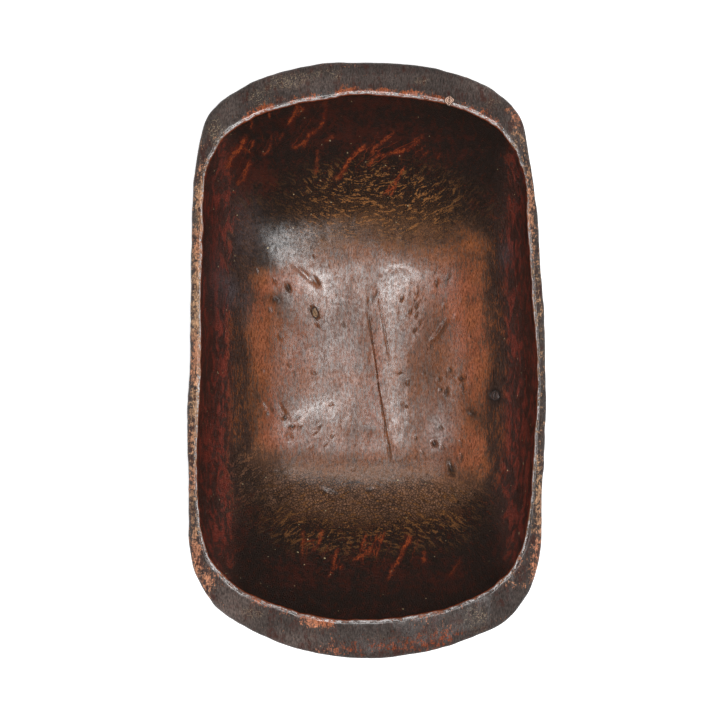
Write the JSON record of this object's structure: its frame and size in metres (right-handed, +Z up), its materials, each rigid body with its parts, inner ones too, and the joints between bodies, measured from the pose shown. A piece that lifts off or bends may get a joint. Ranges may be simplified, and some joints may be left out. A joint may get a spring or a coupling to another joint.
{
  "type": "carved wooden bowl",
  "caption": "Long deep wooden bowl hewn from one half-log, with thin long sides, a broad carrying ledge at each end, a flat foot, and tight knots in the rim and floor.",
  "frame": {"origin": "on the ground under the middle of the bowl's outline, at the height of the flat foot", "axes": "+Z up, +Y along the bowl towards the end whose rim holds the knot, +X across the bowl"},
  "size_m": [0.3624, 0.6009, 0.1454],
  "materials": {
    "patinated_wood": "waxed, worn at the rim, satin",
    "knot_wood": "dark, satin"
  },
  "bodies": {
    "root": {"bowl_body": "patinated_wood", "rim_knot": "knot_wood", "floor_knot": "knot_wood", "pin_knot": "knot_wood"}
  },
  "joints": []
}
